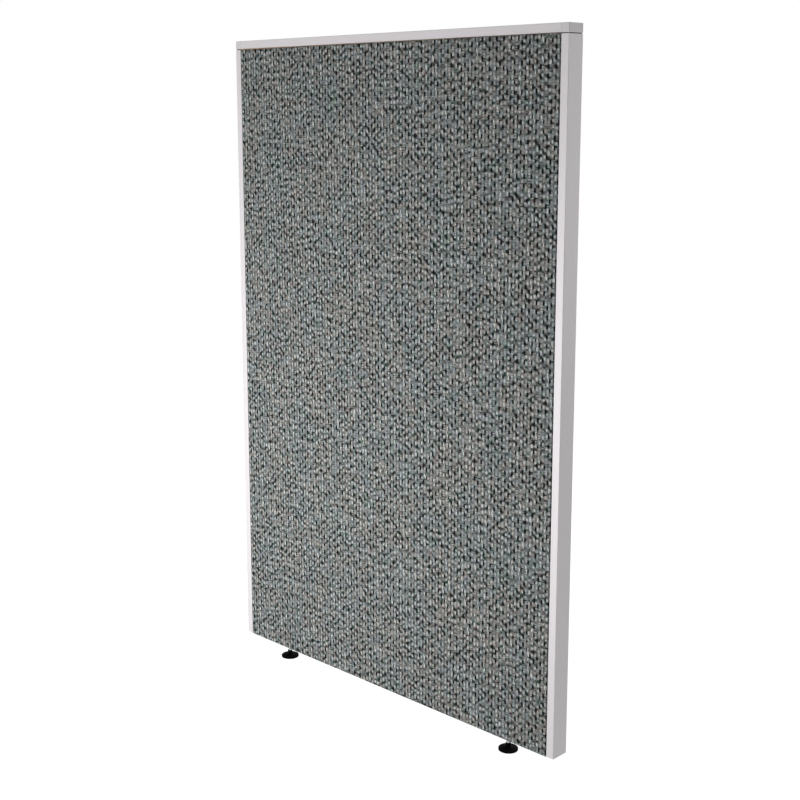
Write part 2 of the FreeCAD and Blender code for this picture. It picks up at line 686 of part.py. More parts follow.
def make_pan_screw():
    """One pan-head screw, head up, the seat under its head on the XY plane."""
    body = new_body("pan_screw")
    head = "(Sizes.cap_screw_head / 2)"
    shank = "(Sizes.screw_diameter / 2)"
    sketch = new_sketch(body, "XZ_Plane", "pan_screw_section")
    outline(sketch, [
        ("0", "Sizes.cap_screw_head_height"), (shank, "Sizes.cap_screw_head_height"),
        (head, "Sizes.cap_screw_head_height / 2"), (head, "0"), (shank, "0"),
        (shank, "-Sizes.cap_screw_length"), ("0", "-Sizes.cap_screw_length"),
    ])
    revolve(body, sketch)
    return body


def make_dowel():
    """One dowel along X, centred on the origin, with chamfered ends."""
    body = new_body("dowel")
    sketch = new_sketch(body, "YZ_Plane", "dowel_section")
    circle(sketch, "0", "0", "Sizes.dowel_diameter / 2")
    rod = pad(body, sketch, "Sizes.dowel_length", both_ways=True)
    chamfer_edges(body, rod, "dowel_ends", "Sizes.dowel_chamfer",
                  lambda edge: hasattr(edge.Curve, "Radius"))
    return body


def group(name, piece, places):
    """Copies of one piece as separate solids of one sub-part; places are (point, turn) pairs."""
    copies = []
    for point, turn in places:
        copy = piece.Shape.copy()
        copy.Placement = FreeCAD.Placement(point, turn)
        copies.append(copy)
    feature = doc.addObject("Part::Feature", name)
    feature.Label = name
    feature.Shape = Part.makeCompound(copies)
    return feature


def screw_turn(direction):
    """Turns a screw drawn pointing down so that it points in the direction."""
    return FreeCAD.Rotation(FreeCAD.Vector(0, 0, -1), FreeCAD.Vector(*direction))


def frame_screw_places():
    places = []
    for face in (-1, 1):
        turn = screw_turn((0, -face, 0))
        depth = face * value(HALF_CORE)
        for side in (-1, 1):
            for level in post_screw_levels():
                point = FreeCAD.Vector(side * value(POST_SCREW_X), depth, value(level))
                places.append((point, turn))
        for across in rail_screw_places():
            point = FreeCAD.Vector(value(across), depth, value(RAIL_SCREW_Z))
            places.append((point, turn))
    return places


def cap_screw_places():
    places = []
    for side in (-1, 1):
        level = value(f"{POST_TOP} - {CAP_SCREW_DROP}")
        point = FreeCAD.Vector(side * value(POST_INNER), 0, level)
        places.append((point, screw_turn((side, 0, 0))))
        across = side * value(f"{POST_INNER} - {CAP_SCREW_DROP}")
        point = FreeCAD.Vector(across, 0, value(RAIL_BOTTOM))
        places.append((point, screw_turn((0, 0, 1))))
    return places


def dowel_places():
    places = []
    for middle in BATTEN_MIDDLES.values():
        for level in dowel_levels(middle):
            for side in (-1, 1):
                point = FreeCAD.Vector(side * value(STILE_INNER), 0, value(level))
                places.append((point, FreeCAD.Rotation()))
    return places


parts = []
for side, turn in SIDES.items():
    parts.append(make_post(side, turn))
    parts.append(make_corner_cap(side, turn))
    parts.append(make_post_plug(side, turn))
    parts.append(make_stile(side, turn))
    parts.append(make_tee_nut(side, turn))
    parts.append(make_foot_base(side, turn))
    parts.append(make_foot_sole(side, turn))
    parts.append(make_foot_stud(side, turn))
parts.append(make_top_rail())
parts.append(make_batten("head_batten", tenon=True))
parts.append(make_batten("mid_batten"))
parts.append(make_sill_batten())
for face, turn in FACES.items():
    parts.append(make_board(face, turn))
    parts.append(make_fabric(face, turn))
parts.append(group("frame_screws", make_countersunk_screw(), frame_screw_places()))
parts.append(group("cap_screws", make_pan_screw(), cap_screw_places()))
parts.append(group("dowels", make_dowel(), dowel_places()))
doc.recompute()

for item in doc.Objects:
    if "Invalid" in item.State or "Error" in item.State:
        raise RuntimeError(f"{item.Name} failed: {item.State}")
for part in parts:
    if part.Shape.isNull() or not part.Shape.isValid():
        raise RuntimeError(f"{part.Label} has no sound shape")

os.makedirs("parts", exist_ok=True)
for part in parts:
    part.Shape.exportStep(f"parts/{part.Label}.step")
    print(part.Label, len(part.Shape.Solids), round(part.Shape.Volume))
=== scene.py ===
import math

import bmesh
import bpy
import numpy as np
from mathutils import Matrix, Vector


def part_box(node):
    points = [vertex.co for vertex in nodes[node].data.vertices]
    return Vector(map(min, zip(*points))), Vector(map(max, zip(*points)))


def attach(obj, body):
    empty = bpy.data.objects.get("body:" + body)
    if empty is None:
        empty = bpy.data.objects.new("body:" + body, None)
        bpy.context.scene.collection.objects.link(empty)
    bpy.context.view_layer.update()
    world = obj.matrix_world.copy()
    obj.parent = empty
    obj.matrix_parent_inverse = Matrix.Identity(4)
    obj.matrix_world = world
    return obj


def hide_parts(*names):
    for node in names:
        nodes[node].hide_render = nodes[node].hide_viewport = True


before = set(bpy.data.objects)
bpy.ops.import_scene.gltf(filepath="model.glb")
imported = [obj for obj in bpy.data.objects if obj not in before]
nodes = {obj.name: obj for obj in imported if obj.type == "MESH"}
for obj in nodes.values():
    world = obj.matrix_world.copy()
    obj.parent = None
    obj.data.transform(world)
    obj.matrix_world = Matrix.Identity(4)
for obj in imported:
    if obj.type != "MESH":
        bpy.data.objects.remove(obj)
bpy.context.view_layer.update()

scene = bpy.context.scene


# ---------------------------------------------------------------------------
# The studio. The screen stands on a plain pale floor that runs on into a white
# backdrop. One broad lamp stands low in front of it, and weaker ones fill the rest.
# ---------------------------------------------------------------------------
LENS_MM = 59.46
SENSOR_MM = 36.0
SHIFT_Y = -0.06
CAMERA_PLACE = Vector((2.4762, -2.4991, 1.6384))
CAMERA_YAW = 0.7732
CAMERA_PITCH = 0.1792
FLOOR_SIZE = 60.0
AMBIENT = 0.45
SEEN_FLOOR_GLOW = 0.88


def linear(code):
    """The linear colour of an sRGB hex code."""
    parts = [int(code[i:i + 2], 16) / 255 for i in (1, 3, 5)]
    return [p / 12.92 if p <= 0.04045 else ((p + 0.055) / 1.055) ** 2.4 for p in parts] + [1.0]


def add(tree, kind, inputs, output=0, **settings):
    """Adds one node with its settings and its values or links, and gives the output asked for."""
    made = tree.nodes.new(kind)
    for name, setting in settings.items():
        setattr(made, name, setting)
    for key, given in inputs.items():
        if isinstance(given, bpy.types.NodeSocket):
            tree.links.new(given, made.inputs[key])
        else:
            made.inputs[key].default_value = given
    return made.outputs[output]


def seen_directly(tree):
    """1 for a ray from the camera, or one that a gloss or a clear piece sends on, and 0 for light."""
    path = tree.nodes.new("ShaderNodeLightPath")
    either = add(tree, "ShaderNodeMath", {0: path.outputs["Is Camera Ray"],
                                          1: path.outputs["Is Glossy Ray"]}, operation="MAXIMUM")
    return add(tree, "ShaderNodeMath", {0: either, 1: path.outputs["Is Transmission Ray"]},
               operation="MAXIMUM")


world = bpy.data.worlds.new("studio")
scene.world = world
world.use_nodes = True
tree = world.node_tree
tree.nodes.clear()
light = add(tree, "ShaderNodeBackground", {"Color": linear("#FFFFFF"), "Strength": AMBIENT})
white = add(tree, "ShaderNodeBackground", {"Color": linear("#FFFFFF"), "Strength": 1.0})
around = add(tree, "ShaderNodeMixShader", {0: seen_directly(tree), 1: light, 2: white})
tree.links.new(around, tree.nodes.new("ShaderNodeOutputWorld").inputs["Surface"])

floor_paint = bpy.data.materials.new("white_floor_paint")
floor_paint.use_nodes = True
tree = floor_paint.node_tree
tree.nodes.clear()
bounce = add(tree, "ShaderNodeBsdfDiffuse", {"Color": linear("#E4E4E4")})
shade = add(tree, "ShaderNodeBsdfDiffuse", {"Color": linear("#959595")})
glow = add(tree, "ShaderNodeEmission", {"Color": linear("#FFFFFF"), "Strength": SEEN_FLOOR_GLOW})
shown = add(tree, "ShaderNodeAddShader", {0: shade, 1: glow})
mixed = add(tree, "ShaderNodeMixShader", {0: seen_directly(tree), 1: bounce, 2: shown})
tree.links.new(mixed, tree.nodes.new("ShaderNodeOutputMaterial").inputs["Surface"])

floor_mesh = bpy.data.meshes.new("studio_floor")
half = FLOOR_SIZE / 2
floor_mesh.from_pydata([(-half, -half, 0), (half, -half, 0), (half, half, 0), (-half, half, 0)],
                       [], [(0, 1, 2, 3)])
floor_mesh.materials.append(floor_paint)
floor = bpy.data.objects.new("studio_floor", floor_mesh)
scene.collection.objects.link(floor)

for name, place, aim, size, power in (
        ("key_lamp", (-0.5, -1.85, 0.62), (-0.5, 0.0, 0.62), 1.1, 37.0),
        ("end_lamp", (4.5, 0.5, 1.2), (0.6, 0.0, 0.9), 2.6, 13.0),
        ("rear_lamp", (0.7, 3.2, 1.3), (0.0, 0.0, 0.9), 2.2, 60.0)):
    lamp = bpy.data.lights.new(name, "AREA")
    lamp.shape = "DISK"
    lamp.size = size
    lamp.energy = power
    holder = bpy.data.objects.new(name, lamp)
    holder.location = place
    holder.rotation_euler = (Vector(aim) - Vector(place)).to_track_quat("-Z", "Y").to_euler()
    holder.visible_camera = False
    scene.collection.objects.link(holder)

camera_data = bpy.data.cameras.new("camera")
camera_data.lens = LENS_MM
camera_data.sensor_width = SENSOR_MM
camera_data.shift_y = SHIFT_Y
camera = bpy.data.objects.new("camera", camera_data)
camera.location = CAMERA_PLACE
forward = Vector((-math.sin(CAMERA_YAW) * math.cos(CAMERA_PITCH),
                  math.cos(CAMERA_YAW) * math.cos(CAMERA_PITCH), -math.sin(CAMERA_PITCH)))
camera.rotation_euler = forward.to_track_quat("-Z", "Y").to_euler()
scene.collection.objects.link(camera)
scene.camera = camera
scene.view_settings.view_transform = "Standard"


# ---------------------------------------------------------------------------
# Posts and top rail: hollow aluminium extrusions, sprayed with silver-grey powder
# and baked. The three lengths are cut square and meet at the corner caps.
# ---------------------------------------------------------------------------
POWDER = "#CBC7C9"
POWDER_SHADE = "#C3BFC2"
POWDER_PEEL_MM = 1.8
POWDER_GRAIN_MM = 0.45


def new_material(name, **surface):
    """A material with one Principled shader, whose uniform values are set on its own sockets."""
    material = bpy.data.materials.new(name)
    material.use_nodes = True
    made = material.node_tree
    made.nodes.clear()
    shader = made.nodes.new("ShaderNodeBsdfPrincipled")
    for socket, amount in surface.items():
        shader.inputs[socket].default_value = amount
    made.links.new(shader.outputs[0], made.nodes.new("ShaderNodeOutputMaterial").inputs["Surface"])
    return material, made, shader


def dress(names, material):
    """Gives CAD nodes a material in place of their plain one."""
    for name in names:
        for place in nodes[name].material_slots:
            place.material = material


# Baked powder coat: the peel breaks up the highlight, and the fine grain takes off the shine.
powder_coat, tree, shader = new_material(
    "baked_powder_coat", **{"Metallic": 0.12, "Roughness": 0.54, "Coat Weight": 0.06, "Coat Roughness": 0.45})
place = add(tree, "ShaderNodeTexCoord", {}, output="Object")
peel = add(tree, "ShaderNodeTexNoise", {"Vector": place, "Scale": 1000 / POWDER_PEEL_MM, "Detail": 1.0})
grain = add(tree, "ShaderNodeTexNoise", {"Vector": place, "Scale": 1000 / POWDER_GRAIN_MM, "Detail": 2.0})
tint = add(tree, "ShaderNodeMapRange", {"Value": grain, "From Min": 0.3, "From Max": 0.7})
colour = add(tree, "ShaderNodeMix", {0: tint, 6: linear(POWDER_SHADE), 7: linear(POWDER)},
             output=2, data_type="RGBA")
relief = add(tree, "ShaderNodeMath", {0: peel, 1: 1.0, 2: grain}, operation="MULTIPLY_ADD")
normal = add(tree, "ShaderNodeBump", {"Height": relief, "Strength": 0.25, "Distance": 0.00006})
tree.links.new(colour, shader.inputs["Base Color"])
tree.links.new(normal, shader.inputs["Normal"])
dress(["post_left", "post_right", "top_rail"], powder_coat)


# ---------------------------------------------------------------------------
# Corner caps: hollow mouldings in ABS, finished to match the powder coat, with painted shade in the
# groove over the post. Each has two spigots, one into the top rail and one into its post.
# ---------------------------------------------------------------------------
CAP_COLOUR = "#C8C4C6"
CAP_SHADE = "#BFBBBE"
# painted shade for the groove under each cap and the hairline beside it
CAP_GROOVE_SHADE = "#231F21"
GROOVE_SHADE_TOP = 1.8186          # height below which the shade of the groove is painted
RAIL_SHADE_END = 0.5774          # and its inner end, where the rail begins; inside it the hairline's shade is painted
SPARK_MM = 0.6

# Sprayed ABS from a spark-eroded tool: an even fine grain with a soft shine. The neck and the spigots carry
# painted shade in charcoal, which draws the dark line under each cap and a hairline beside it.
cap_abs, tree, shader = new_material("sprayed_abs_with_painted_groove_shade", **{"Roughness": 0.5, "IOR": 1.53})
place = add(tree, "ShaderNodeTexCoord", {}, output="Object")
spark = add(tree, "ShaderNodeTexNoise", {"Vector": place, "Scale": 1000 / SPARK_MM, "Detail": 2.0})
spray = add(tree, "ShaderNodeMix", {0: spark, 6: linear(CAP_SHADE), 7: linear(CAP_COLOUR)},
            output=2, data_type="RGBA")
level = add(tree, "ShaderNodeSeparateXYZ", {0: place}, output="Z")
along = add(tree, "ShaderNodeSeparateXYZ", {0: place}, output="X")
out = add(tree, "ShaderNodeMath", {0: along}, operation="ABSOLUTE")
# painted shade: below the groove and along the rail spigot the cap turns charcoal, for the shadow in the gap
# and the hairline
over_groove = add(tree, "ShaderNodeMath", {0: level, 1: GROOVE_SHADE_TOP}, operation="GREATER_THAN")
past_rail = add(tree, "ShaderNodeMath", {0: out, 1: RAIL_SHADE_END}, operation="GREATER_THAN")
unshaded = add(tree, "ShaderNodeMath", {0: over_groove, 1: past_rail}, operation="MULTIPLY")
colour = add(tree, "ShaderNodeMix", {0: unshaded, 6: linear(CAP_GROOVE_SHADE), 7: spray},
             output=2, data_type="RGBA")
normal = add(tree, "ShaderNodeBump", {"Height": spark, "Strength": 0.3, "Distance": 0.00004})
tree.links.new(colour, shader.inputs["Base Color"])
tree.links.new(normal, shader.inputs["Normal"])
dress(["corner_cap_left", "corner_cap_right"], cap_abs)


# ---------------------------------------------------------------------------
# Core frame: planed softwood stiles and battens, doweled at the joints and held
# by the flanges of the posts and the rail. The sill carries the feet.
# ---------------------------------------------------------------------------
PINE_LIGHT = "#DDBE8F"
PINE_DARK = "#BE9159"
RING_SPACING_MM = 5.0
FIBRE_MM = 0.5


def planed_pine(name, along):
    """Planed softwood, with the growth rings running along the piece: 0 for X and 2 for Z."""
    material, made, shader = new_material(name, **{"Roughness": 0.62})
    where = add(made, "ShaderNodeTexCoord", {}, output="Object")
    across = [1000 / RING_SPACING_MM] * 3
    across[along] = 1000 / RING_SPACING_MM * 0.03
    long_place = add(made, "ShaderNodeVectorMath", {0: where, 1: across}, operation="MULTIPLY")
    rings = add(made, "ShaderNodeTexNoise", {"Vector": long_place, "Scale": 1.0, "Detail": 2.0,
                                             "Distortion": 0.6})
    fine = [1000 / FIBRE_MM] * 3
    fine[along] = 1000 / FIBRE_MM * 0.02
    fibre_place = add(made, "ShaderNodeVectorMath", {0: where, 1: fine}, operation="MULTIPLY")
    fibres = add(made, "ShaderNodeTexNoise", {"Vector": fibre_place, "Scale": 1.0, "Detail": 3.0})
    both = add(made, "ShaderNodeMath", {0: fibres, 1: 0.35, 2: rings}, operation="MULTIPLY_ADD")
    share = add(made, "ShaderNodeMapRange", {"Value": both, "From Min": 0.45, "From Max": 0.9})
    tone = add(made, "ShaderNodeMix", {0: share, 6: linear(PINE_LIGHT), 7: linear(PINE_DARK)},
               output=2, data_type="RGBA")
    bump = add(made, "ShaderNodeBump", {"Height": fibres, "Strength": 0.4, "Distance": 0.0001})
    made.links.new(tone, shader.inputs["Base Color"])
    made.links.new(bump, shader.inputs["Normal"])
    return material


upright_pine = planed_pine("planed_pine_upright", 2)
level_pine = planed_pine("planed_pine_level", 0)
dress(["stile_left", "stile_right"], upright_pine)
dress(["head_batten", "mid_batten", "sill_batten", "dowels"], level_pine)


# ---------------------------------------------------------------------------
# Facing boards: 9 mm wood-fibre board, sawn to size. The cloth covers its face, sides and foot;
# its top edge is left bare, and its back lies against the core frame.
# ---------------------------------------------------------------------------
FIBRE_LIGHT = "#E0BA8C"
FIBRE_DARK = "#BE9462"
FIBRE_CLUMP_MM = 1.4

# Pressed wood fibre: short brown clumps without a direction, dry and dull.
fibreboard, tree, shader = new_material("pressed_wood_fibreboard", **{"Roughness": 0.8})
place = add(tree, "ShaderNodeTexCoord", {}, output="Object")
clumps = add(tree, "ShaderNodeTexNoise", {"Vector": place, "Scale": 1000 / FIBRE_CLUMP_MM, "Detail": 4.0})
colour = add(tree, "ShaderNodeMix", {0: clumps, 6: linear(FIBRE_DARK), 7: linear(FIBRE_LIGHT)},
             output=2, data_type="RGBA")
normal = add(tree, "ShaderNodeBump", {"Height": clumps, "Strength": 0.5, "Distance": 0.0002})
tree.links.new(colour, shader.inputs["Base Color"])
tree.links.new(normal, shader.inputs["Normal"])
dress(["front_board", "rear_board"], fibreboard)


# ---------------------------------------------------------------------------
# Screws and tee nuts: cold-formed steel, zinc plated. The countersunk screws hold
# the flanges to the timber, and the pan heads hold the spigots.
# ---------------------------------------------------------------------------
ZINC_LIGHT = "#C9CBD0"
ZINC_DARK = "#9FA3AB"
SPANGLE_MM = 1.2

# Bright zinc plate: a cool metal with soft spangles, which blur what it reflects.
zinc_plate, tree, shader = new_material("bright_zinc_plate", **{"Metallic": 1.0, "Roughness": 0.3})
place = add(tree, "ShaderNodeTexCoord", {}, output="Object")
spangle = add(tree, "ShaderNodeTexNoise", {"Vector": place, "Scale": 1000 / SPANGLE_MM, "Detail": 3.0})
colour = add(tree, "ShaderNodeMix", {0: spangle, 6: linear(ZINC_DARK), 7: linear(ZINC_LIGHT)},
             output=2, data_type="RGBA")
dull = add(tree, "ShaderNodeMapRange", {"Value": spangle, "To Min": 0.22, "To Max": 0.42})
tree.links.new(colour, shader.inputs["Base Color"])
tree.links.new(dull, shader.inputs["Roughness"])
dress(["tee_nut_left", "tee_nut_right", "frame_screws", "cap_screws"], zinc_plate)


# ---------------------------------------------------------------------------
# Cloth: a heavy wool-mix weave in grey yarns, stretched over each board, folded round
# its sides and foot, and trimmed straight along the top. The yarns stand up as ribs.
# ---------------------------------------------------------------------------
RIB_MM = 11.2                # one upright rib of the weave
PICK_MM = 23.0               # one row of the weave, from hole to hole up a furrow
ROW_STRAY = 0.14             # how far a furrow's rows stray, as a share of a row
FLOATS_PER_ROW = 3.4         # changes of brightness along a rib, row by row
FLOATS_ABOVE = 1.36          # a little under half a row, counted in floats
FLOAT_RANGE = 0.31           # the contrast of two floats at which one is fully lit or dull
RIB_APART = 1.63             # keeps one rib's brightness from repeating in the next
FURROWS_AWAY = 400.5         # and one furrow's opening from following its rib
FURROW_SHUT = 0.35           # the noise at which a furrow is shut, and the noise at which it is open
FURROW_OPEN = 0.70
SPREAD_ACROSS = 0.385        # these two set like holes apart, across and up
SPREAD_UP = 0.13
SPREAD_DISORDER = 0.5
HOLE_SEED = 0.0
HOLE_RARITY = 2.1            # powers: the higher, the rarer, the narrower and the shorter
HOLE_NARROW = 1.5
HOLE_SHORT = 2.8
SLUB_SEED = 4.7
SLUB_RARITY = 5.0
STEPS_PER_RIB = 2            # points of the mesh across a rib and up a row
STEPS_PER_ROW = 4
CLOTH_RELIEF = 0.0009
CLOTH_FOLD = 0.0015
CLOTH_THICK = 0.0014
CLOTH_OVER_BOARD = 0.00005   # the inner layer lies this far over the board
CUT_RISE = 0.0013            # the cut along the top runs up this far from left to right
GROUND = 0.60                # brightness of the cloth between crown and furrow
FLOAT_GAIN = 0.80            # what each part of the weave adds to it
FLOAT_BASE = -0.38
SLUB_GAIN = 0.85
# the furrows darken towards dark yarn and painted shade, and the holes towards painted shade
FURROW_YARN_AND_SHADE_GAIN = -0.25
HOLE_SHADE_GAIN = -2.6
YARN_PALE = "#8F9391"
YARN_WARM = "#958F8B"
YARN_BLUE = "#8B8F94"
YARN_GREEN = "#828F87"
SLUB_PALE = "#BCC0BD"
# dark yarns, which in the furrows also stand for painted shade
YARN_DARK_GREEN_AND_SHADE = "#22362F"
YARN_DARK_WARM_AND_SHADE = "#352F30"
# painted shade: the near-black in the holes between the yarns
HOLE_PAINTED_SHADE = "#0A0C0C"


def evenly(tree, number, row, seed):
    """A chance from 0 to 1 for each crossing of the weave. Like values lie well apart, as a loom spreads
    them, but with some disorder."""
    place = add(tree, "ShaderNodeCombineXYZ", {"X": number, "Y": row, "Z": seed})
    disorder = add(tree, "ShaderNodeTexWhiteNoise", {"Vector": place}, noise_dimensions="3D")
    sideways = add(tree, "ShaderNodeMath", {0: number, 1: SPREAD_ACROSS, 2: seed}, operation="MULTIPLY_ADD")
    upward = add(tree, "ShaderNodeMath", {0: row, 1: SPREAD_UP, 2: sideways}, operation="MULTIPLY_ADD")
    mixed = add(tree, "ShaderNodeMath", {0: disorder, 1: SPREAD_DISORDER, 2: upward},
                operation="MULTIPLY_ADD")
    return add(tree, "ShaderNodeMath", {0: mixed}, operation="FRACT")


def weave(tree, cells):
    """The rule of the weave, for its shape and for its colour: how strong each rib, float, furrow, hole
    and slub is. cells counts ribs across and rows up."""
    across = add(tree, "ShaderNodeSeparateXYZ", {0: cells}, output="X")
    up = add(tree, "ShaderNodeSeparateXYZ", {0: cells}, output="Y")
    rib_number = add(tree, "ShaderNodeMath", {0: across}, operation="FLOOR")
    furrow_number = add(tree, "ShaderNodeMath", {0: across}, operation="ROUND")
    # the rows of neighbouring furrows are half a row apart, and each strays a little more
    stray = add(tree, "ShaderNodeTexWhiteNoise", {"W": furrow_number}, noise_dimensions="1D")
    stagger = add(tree, "ShaderNodeMath", {0: furrow_number, 1: 0.5}, operation="MULTIPLY")
    shift = add(tree, "ShaderNodeMath", {0: stray, 1: ROW_STRAY, 2: stagger}, operation="MULTIPLY_ADD")
    up_here = add(tree, "ShaderNodeMath", {0: up, 1: shift}, operation="ADD")
    row_number = add(tree, "ShaderNodeMath", {0: up_here}, operation="ROUND")
    turn_across = add(tree, "ShaderNodeMath", {0: across, 1: math.tau}, operation="MULTIPLY")
    turn_up = add(tree, "ShaderNodeMath", {0: up_here, 1: math.tau}, operation="MULTIPLY")
    wave_across = add(tree, "ShaderNodeMath", {0: turn_across}, operation="COSINE")
    wave_up = add(tree, "ShaderNodeMath", {0: turn_up}, operation="COSINE")
    furrow = add(tree, "ShaderNodeMath", {0: wave_across, 1: 0.5, 2: 0.5}, operation="MULTIPLY_ADD")
    gap = add(tree, "ShaderNodeMath", {0: wave_up, 1: 0.5, 2: 0.5}, operation="MULTIPLY_ADD")
    # each float of yarn along a rib is its own brightness
    up_floats = add(tree, "ShaderNodeMath", {0: up, 1: FLOATS_PER_ROW}, operation="MULTIPLY")
    rib_seed = add(tree, "ShaderNodeMath", {0: rib_number, 1: RIB_APART, 2: 0.5}, operation="MULTIPLY_ADD")
    float_place = add(tree, "ShaderNodeCombineXYZ", {"X": rib_seed, "Y": up_floats, "Z": 0.0})
    float_noise = add(tree, "ShaderNodeTexNoise", {"Vector": float_place, "Scale": 1.0, "Detail": 1.0},
                      noise_dimensions="2D")
    # a lit float is set against the one a little under half a row above it, so that none cluster
    above = add(tree, "ShaderNodeVectorMath", {0: float_place, 1: (0.0, FLOATS_ABOVE, 0.0)}, operation="ADD")
    noise_above = add(tree, "ShaderNodeTexNoise", {"Vector": above, "Scale": 1.0, "Detail": 1.0},
                      noise_dimensions="2D")
    contrast = add(tree, "ShaderNodeMath", {0: float_noise, 1: noise_above}, operation="SUBTRACT")
    floats = add(tree, "ShaderNodeMapRange", {"Value": contrast, "From Min": -FLOAT_RANGE,
                                              "From Max": FLOAT_RANGE})
    # a furrow between two ribs opens and closes along its length
    furrow_seed = add(tree, "ShaderNodeMath", {0: furrow_number, 1: RIB_APART, 2: FURROWS_AWAY},
                      operation="MULTIPLY_ADD")
    furrow_place = add(tree, "ShaderNodeCombineXYZ", {"X": furrow_seed, "Y": up_floats, "Z": 0.0})
    furrow_noise = add(tree, "ShaderNodeTexNoise", {"Vector": furrow_place, "Scale": 1.0, "Detail": 1.0},
                       noise_dimensions="2D")
    opening = add(tree, "ShaderNodeMapRange", {"Value": furrow_noise, "From Min": FURROW_SHUT,
                                               "From Max": FURROW_OPEN})
    furrows = add(tree, "ShaderNodeMath", {0: furrow, 1: opening}, operation="MULTIPLY")
    # the holes lie where a furrow meets the gap between two rows
    chance = evenly(tree, furrow_number, row_number, HOLE_SEED)
    open_hole = add(tree, "ShaderNodeMath", {0: chance, 1: HOLE_RARITY}, operation="POWER")
    narrow = add(tree, "ShaderNodeMath", {0: furrow, 1: HOLE_NARROW}, operation="POWER")
    tall = add(tree, "ShaderNodeMath", {0: gap, 1: HOLE_SHORT}, operation="POWER")
    spot = add(tree, "ShaderNodeMath", {0: narrow, 1: tall}, operation="MULTIPLY")
    holes = add(tree, "ShaderNodeMath", {0: spot, 1: open_hole}, operation="MULTIPLY")
    # a slub, a short thick stretch of yarn, stands up here and there on a rib
    slub_chance = evenly(tree, rib_number, row_number, SLUB_SEED)
    thick = add(tree, "ShaderNodeMath", {0: slub_chance, 1: SLUB_RARITY}, operation="POWER")
    crown = add(tree, "ShaderNodeMath", {0: 1.0, 1: furrow}, operation="SUBTRACT")
    bulge = add(tree, "ShaderNodeMath", {0: crown, 1: tall}, operation="MULTIPLY")
    slubs = add(tree, "ShaderNodeMath", {0: bulge, 1: thick}, operation="MULTIPLY")
    return {"crown": crown, "floats": floats, "furrows": furrows, "holes": holes, "slubs": slubs,
            "rib": rib_number, "up": up}


# Woven wool mix: pale ribs over dark gaps, with painted shade in the gaps, so it looks rough and dull, with a
# soft sheen from fibre ends.
cloth, tree, shader = new_material(
    "woven_grey_wool_mix", **{"Roughness": 0.92, "Sheen Weight": 0.04, "Sheen Roughness": 0.5,
                              "Specular IOR Level": 0.06})
uv = add(tree, "ShaderNodeUVMap", {}, uv_map="weave")
counted = add(tree, "ShaderNodeVectorMath", {0: uv, 1: (1000 / RIB_MM, 1000 / PICK_MM, 1.0)},
              operation="MULTIPLY")
drift = add(tree, "ShaderNodeTexNoise", {"Vector": counted, "Scale": 0.6, "Detail": 2.0}, output="Color")
drift_even = add(tree, "ShaderNodeVectorMath", {0: drift, 1: (0.5, 0.5, 0.5)}, operation="SUBTRACT")
drift_small = add(tree, "ShaderNodeVectorMath", {0: drift_even, 1: (0.10, 0.20, 0.0)}, operation="MULTIPLY")
cells = add(tree, "ShaderNodeVectorMath", {0: counted, 1: drift_small}, operation="ADD")
rule = weave(tree, cells)

# brightness: a rib's crown, lit or dull float by float, less the dark yarn and painted shade of the furrows
# and the painted shade of the holes
lit = add(tree, "ShaderNodeMath", {0: rule["floats"], 1: FLOAT_GAIN, 2: FLOAT_BASE},
          operation="MULTIPLY_ADD")
tone = add(tree, "ShaderNodeMath", {0: rule["crown"], 1: lit, 2: GROUND}, operation="MULTIPLY_ADD")
for part, gain in (("slubs", SLUB_GAIN), ("furrows", FURROW_YARN_AND_SHADE_GAIN), ("holes", HOLE_SHADE_GAIN)):
    tone = add(tree, "ShaderNodeMath", {0: rule[part], 1: gain, 2: tone}, operation="MULTIPLY_ADD")

# colour: each stretch of yarn is pale, warm, blue or green, and whole patches lean one way
rib_apart = add(tree, "ShaderNodeMath", {0: rule["rib"], 1: 3.73}, operation="MULTIPLY")
up_long = add(tree, "ShaderNodeMath", {0: rule["up"], 1: 1.1}, operation="MULTIPLY")
yarn_place = add(tree, "ShaderNodeCombineXYZ", {"X": rib_apart, "Y": up_long, "Z": 6.6})
yarn_pick = add(tree, "ShaderNodeTexNoise", {"Vector": yarn_place, "Scale": 1.0, "Detail": 0.0})
patch = add(tree, "ShaderNodeTexNoise", {"Vector": counted, "Scale": 0.12, "Detail": 2.0})
leaning = add(tree, "ShaderNodeMath", {0: patch, 1: 1.1, 2: yarn_pick}, operation="MULTIPLY_ADD")
picked = add(tree, "ShaderNodeMapRange", {"Value": leaning, "From Min": 0.62, "From Max": 1.48})
ramp = tree.nodes.new("ShaderNodeValToRGB")
stops = ramp.color_ramp.elements
stops[0].position, stops[0].color = 0.0, linear(YARN_GREEN)
stops[1].position, stops[1].color = 1.0, linear(YARN_WARM)
for at, code in ((0.3, YARN_BLUE), (0.5, YARN_PALE), (0.72, YARN_WARM), (0.88, YARN_PALE)):
    stops.new(at).color = linear(code)
tree.links.new(picked, ramp.inputs[0])
dim = add(tree, "ShaderNodeMapRange", {"Value": tone, "From Min": 0.30, "From Max": 0.80})
under = add(tree, "ShaderNodeTexNoise", {"Vector": counted, "Scale": 0.9, "Detail": 1.0})
under_pick = add(tree, "ShaderNodeMapRange", {"Value": under, "From Min": 0.38, "From Max": 0.62})
dark_yarn_and_shade = add(tree, "ShaderNodeMix", {0: under_pick, 6: linear(YARN_DARK_GREEN_AND_SHADE), 7: linear(YARN_DARK_WARM_AND_SHADE)},
                output=2, data_type="RGBA")
toned = add(tree, "ShaderNodeMix", {0: dim, 6: dark_yarn_and_shade, 7: ramp.outputs[0]},
            output=2, data_type="RGBA")
bright = add(tree, "ShaderNodeMapRange", {"Value": tone, "From Min": 0.84, "From Max": 1.10})
paled = add(tree, "ShaderNodeMix", {0: bright, 6: toned, 7: linear(SLUB_PALE)},
            output=2, data_type="RGBA")
